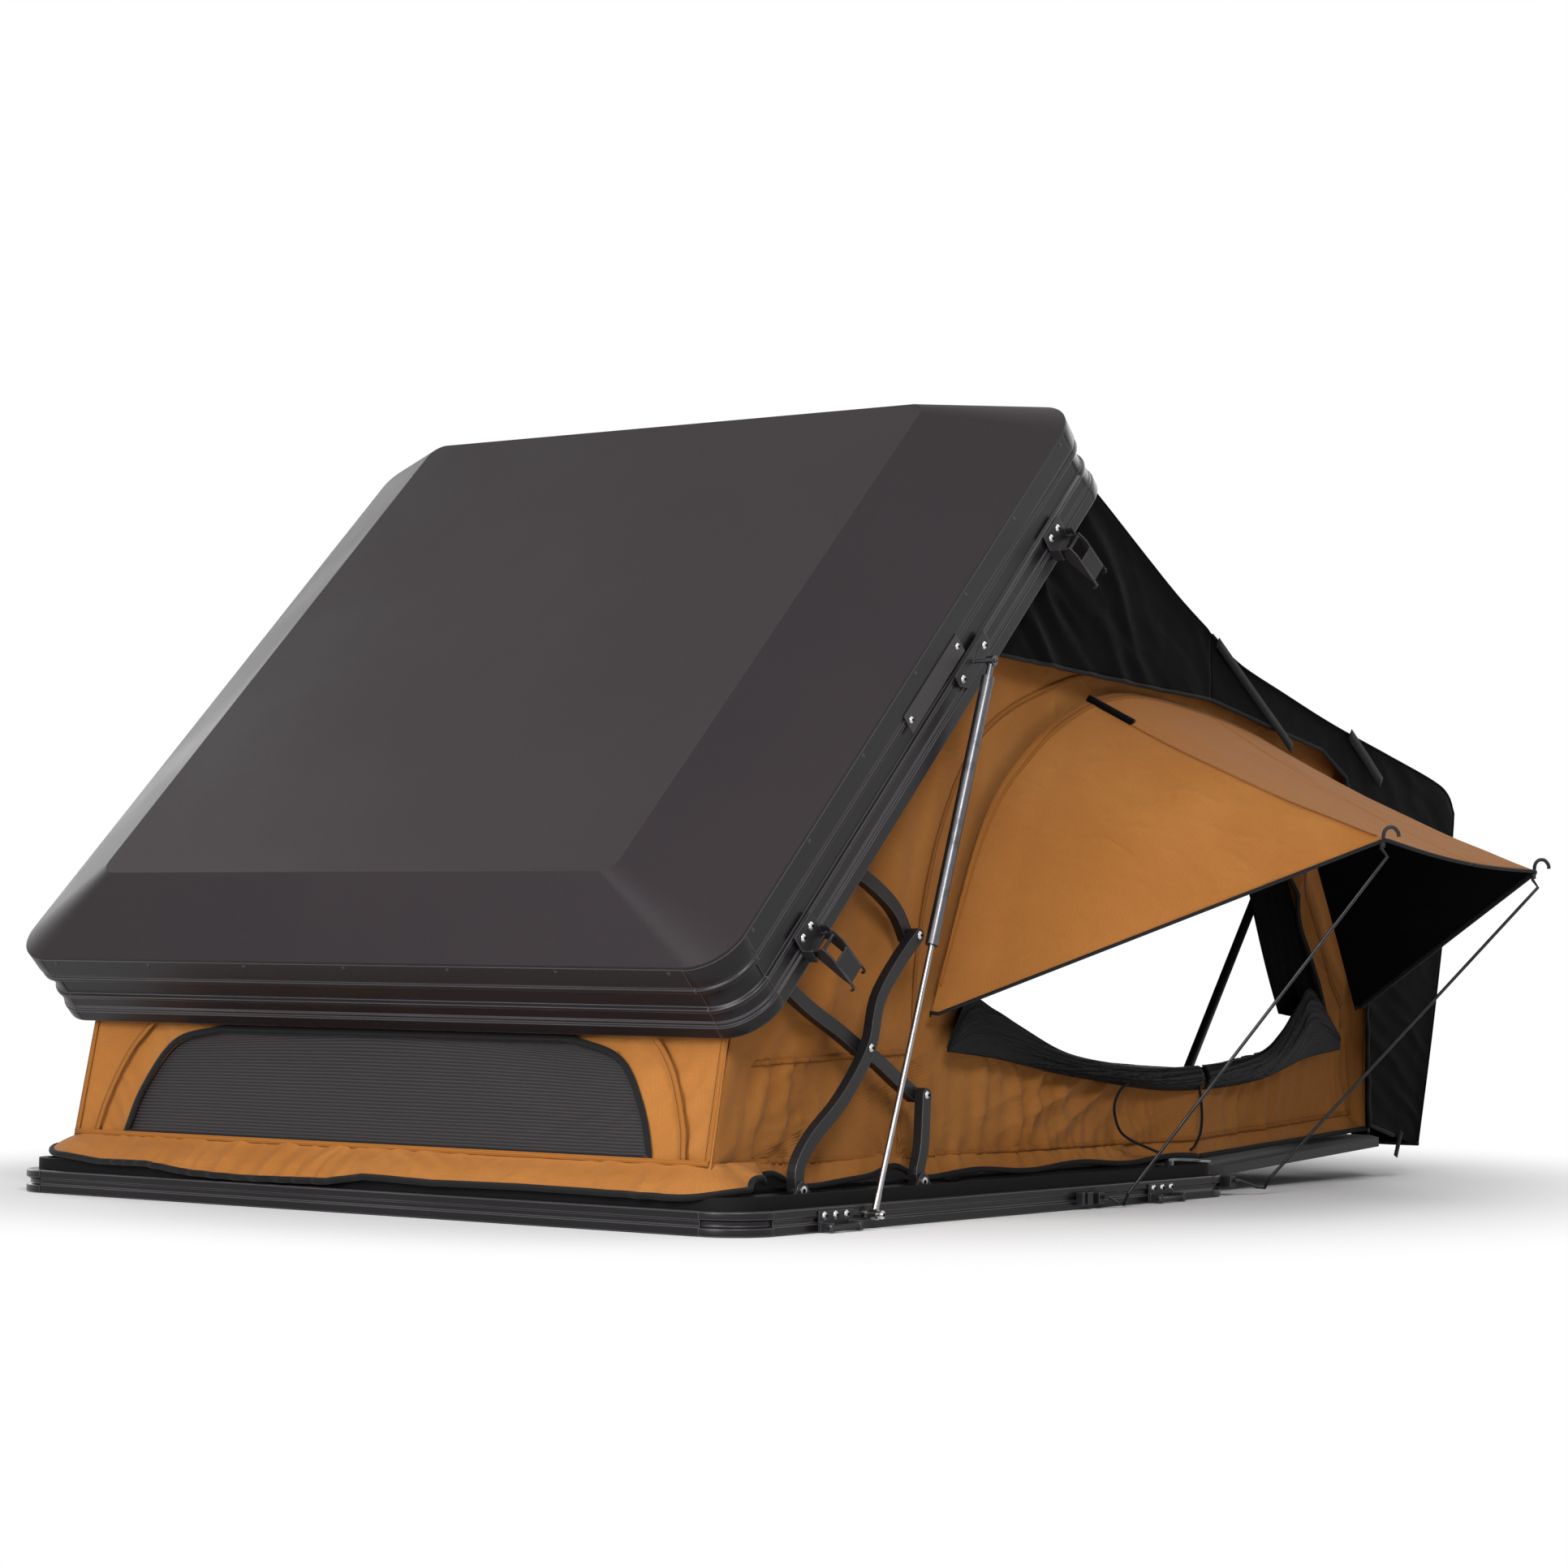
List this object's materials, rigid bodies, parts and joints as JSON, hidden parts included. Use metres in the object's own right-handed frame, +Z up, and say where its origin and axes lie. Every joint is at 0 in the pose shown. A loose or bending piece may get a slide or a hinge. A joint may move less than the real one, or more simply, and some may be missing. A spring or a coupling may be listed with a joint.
{
  "type": "roof top tent",
  "caption": "Fold-out roof top tent with a black aluminium shell, ochre canvas walls, scissor-lift lid, gas struts, black fly and side awnings on steel rods",
  "frame": {"origin": "on the symmetry plane, at the middle of the base frame's underside, in the plane of the four mounting holes", "axes": "+Z up; +Y from the lid's low front edge to the fold-out rear; +X to the right seen from the rear, across the width"},
  "size_m": [2.5136, 2.59, 1.4144],
  "materials": {
    "rail_black": "satin black powder coat",
    "corner_black": "satin black cast",
    "lid_panel": "satin black, fine grain",
    "bracket_black": "black coated steel",
    "arm_black": "black coated steel",
    "bright_bolt": "bright stainless",
    "aluminium_bare": "mill finish",
    "floor_board": "grey composite sheet",
    "seal_rubber": "matte black rubber",
    "name_plate": "brushed grey",
    "strut_tube": "grey metallic",
    "strut_rod": "polished",
    "rod_steel": "zinc plated steel",
    "canvas": "ochre ripstop canvas",
    "fly_cloth": "coated black fly",
    "black_mesh": "fine black mesh",
    "mattress_cloth": "grey knitted cover"
  },
  "bodies": {
    "base": {"base_front_rail": "rail_black", "base_rear_rail": "rail_black", "base_side_rails": "rail_black", "base_corners": "corner_black", "base_floor": "floor_board", "mount_channels": "aluminium_bare", "base_seal": "seal_rubber", "arm_feet": "bracket_black", "foot_pins": "bright_bolt", "strikers": "bracket_black", "base_bolts": "bright_bolt", "rod_sockets": "bracket_black", "hinge_brackets": "aluminium_bare", "mattress_front": "mattress_cloth", "front_wall": "canvas", "front_mesh": "black_mesh", "front_skirt": "canvas", "side_wall_right": "canvas", "side_wall_left": "canvas", "window_mesh_right": "black_mesh", "window_mesh_left": "black_mesh", "fly_front": "fly_cloth"},
    "fold_out": {"fold_floor": "floor_board", "fold_arms": "aluminium_bare", "mattress_rear": "mattress_cloth", "rear_side_right": "canvas", "rear_side_left": "canvas", "rear_wall": "canvas", "fly_rear": "fly_cloth", "fly_rods": "rod_steel"},
    "bow_main": {"bow_main": "arm_black"},
    "lift_arms": {"arms_a": "arm_black", "arm_pins": "bright_bolt"},
    "cross_arms": {"arms_b": "arm_black"},
    "lower_links": {"lower_links": "arm_black", "knee_pins": "bright_bolt"},
    "upper_links": {"upper_links": "arm_black"},
    "lid": {"lid_skin": "lid_panel", "lid_front_rail": "rail_black", "lid_rear_rail": "rail_black", "lid_side_rails": "rail_black", "lid_corners": "corner_black", "lid_plates": "name_plate", "lid_arm_brackets": "bracket_black", "strut_brackets": "bracket_black", "latch_brackets": "bracket_black", "lid_bolts": "bright_bolt"},
    "strut_rods": {"strut_rods": "strut_rod"},
    "strut_tubes": {"strut_tubes": "strut_tube"},
    "awning_right": {"awning_right": "canvas"},
    "rod_right_front": {"rod_right_front": "rod_steel"},
    "latch_right_front": {"latch_right_front": "bracket_black"},
    "rod_right_rear": {"rod_right_rear": "rod_steel"},
    "latch_right_rear": {"latch_right_rear": "bracket_black"},
    "awning_left": {"awning_left": "canvas"},
    "rod_left_front": {"rod_left_front": "rod_steel"},
    "latch_left_front": {"latch_left_front": "bracket_black"},
    "rod_left_rear": {"rod_left_rear": "rod_steel"},
    "latch_left_rear": {"latch_left_rear": "bracket_black"}
  },
  "joints": [
    {"name": "lid_fold", "type": "hinge", "parent": "base", "child": "lift_arms", "pos_m": [0, -0.526, 0.062], "axis": [1, 0, 0], "range_deg": [-35.99, 0], "deforming": ["front_wall", "front_mesh", "front_skirt", "side_wall_right", "side_wall_left", "window_mesh_right", "window_mesh_left", "fly_front"]},
    {"name": "arm_cross", "type": "hinge", "parent": "lift_arms", "child": "cross_arms", "pos_m": [0, -0.332, 0.287], "axis": [1, 0, 0], "range_deg": [0, 61.54]},
    {"name": "lid_pivot", "type": "hinge", "parent": "cross_arms", "child": "lid", "pos_m": [0, -0.64129, 0.45056], "axis": [1, 0, 0], "range_deg": [-69.84, 0]},
    {"name": "lower_link_swing", "type": "hinge", "parent": "base", "child": "lower_links", "pos_m": [0, -0.184, 0.062], "axis": [1, 0, 0], "range_deg": [-57.24, 0]},
    {"name": "upper_link_swing", "type": "hinge", "parent": "lift_arms", "child": "upper_links", "pos_m": [0, -0.195, 0.473], "axis": [1, 0, 0], "range_deg": [0, 71.11]},
    {"name": "strut_swing", "type": "hinge", "parent": "base", "child": "strut_rods", "pos_m": [0, -0.426, 0.023], "axis": [1, 0, 0], "range_deg": [-61.26, 0]},
    {"name": "strut_slide", "type": "slide", "parent": "strut_rods", "child": "strut_tubes", "axis": [0, 0.3378, 0.9412], "range_m": [-0.3958, 0]},
    {"name": "floor_fold", "type": "hinge", "parent": "base", "child": "fold_out", "pos_m": [0, 0.735, 0.085], "axis": [1, 0, 0], "range_deg": [0, 177], "deforming": ["rear_side_right", "rear_side_left", "rear_wall", "fly_rear", "fly_rods"]},
    {"name": "bow_main_swing", "type": "hinge", "parent": "base", "child": "bow_main", "pos_m": [0, 0.735, 0.085], "axis": [1, 0, 0], "range_deg": [0, 127.7]},
    {"name": "awning_right_swing", "type": "hinge", "parent": "base", "child": "awning_right", "pos_m": [0.7204, 0.335, 0.88], "axis": [0, 0.9944, -0.106], "range_deg": [0, 64], "deforming": ["awning_right"]},
    {"name": "rod_right_front_swing", "type": "hinge", "parent": "base", "child": "rod_right_front", "pos_m": [0.845, 0.263, 0.02], "axis": [0.8436, 0.0346, -0.5359], "range_deg": [0, 103.03]},
    {"name": "rod_right_rear_swing", "type": "hinge", "parent": "base", "child": "rod_right_rear", "pos_m": [0.833, 0.74, 0.028], "axis": [0.8204, 0.0322, -0.5709], "range_deg": [0, 110.87]},
    {"name": "latch_right_front_swing", "type": "hinge", "parent": "lid", "child": "latch_right_front", "pos_m": [0.812, -0.54639, 0.45625], "axis": [0, -0.7158, -0.6983], "range_deg": [0, 60]},
    {"name": "latch_right_rear_swing", "type": "hinge", "parent": "lid", "child": "latch_right_rear", "pos_m": [0.812, 0.17264, 1.15768], "axis": [0, -0.7158, -0.6983], "range_deg": [0, 60]},
    {"name": "awning_left_swing", "type": "hinge", "parent": "base", "child": "awning_left", "pos_m": [-0.7204, 0.335, 0.88], "axis": [0, -0.9944, 0.106], "range_deg": [0, 64], "deforming": ["awning_left"]},
    {"name": "rod_left_front_swing", "type": "hinge", "parent": "base", "child": "rod_left_front", "pos_m": [-0.845, 0.263, 0.02], "axis": [0.8436, -0.0346, 0.5359], "range_deg": [0, 103.03]},
    {"name": "rod_left_rear_swing", "type": "hinge", "parent": "base", "child": "rod_left_rear", "pos_m": [-0.833, 0.74, 0.028], "axis": [0.8204, -0.0322, 0.5709], "range_deg": [0, 110.87]},
    {"name": "latch_left_front_swing", "type": "hinge", "parent": "lid", "child": "latch_left_front", "pos_m": [-0.812, -0.54639, 0.45625], "axis": [0, 0.7158, 0.6983], "range_deg": [0, 60]},
    {"name": "latch_left_rear_swing", "type": "hinge", "parent": "lid", "child": "latch_left_rear", "pos_m": [-0.812, 0.17264, 1.15768], "axis": [0, 0.7158, 0.6983], "range_deg": [0, 60]}
  ],
  "couplings": [
    {"joint": "arm_cross", "follows": "lid_fold", "ratio": -1.71},
    {"joint": "lid_pivot", "follows": "lid_fold", "ratio": 1.9406},
    {"joint": "lower_link_swing", "follows": "lid_fold", "ratio": 1.5906},
    {"joint": "upper_link_swing", "follows": "lid_fold", "ratio": -1.9759},
    {"joint": "strut_swing", "follows": "lid_fold", "ratio": 1.7021},
    {"joint": "strut_slide", "follows": "lid_fold", "m_per_rad": 0.63015},
    {"joint": "bow_main_swing", "follows": "floor_fold", "ratio": 0.72147},
    {"joint": "awning_right_swing", "follows": "lid_fold", "ratio": -1.7784},
    {"joint": "rod_right_front_swing", "follows": "lid_fold", "ratio": -2.863},
    {"joint": "rod_right_rear_swing", "follows": "lid_fold", "ratio": -3.0808},
    {"joint": "awning_left_swing", "follows": "lid_fold", "ratio": -1.7784},
    {"joint": "rod_left_front_swing", "follows": "lid_fold", "ratio": -2.863},
    {"joint": "rod_left_rear_swing", "follows": "lid_fold", "ratio": -3.0808}
  ]
}
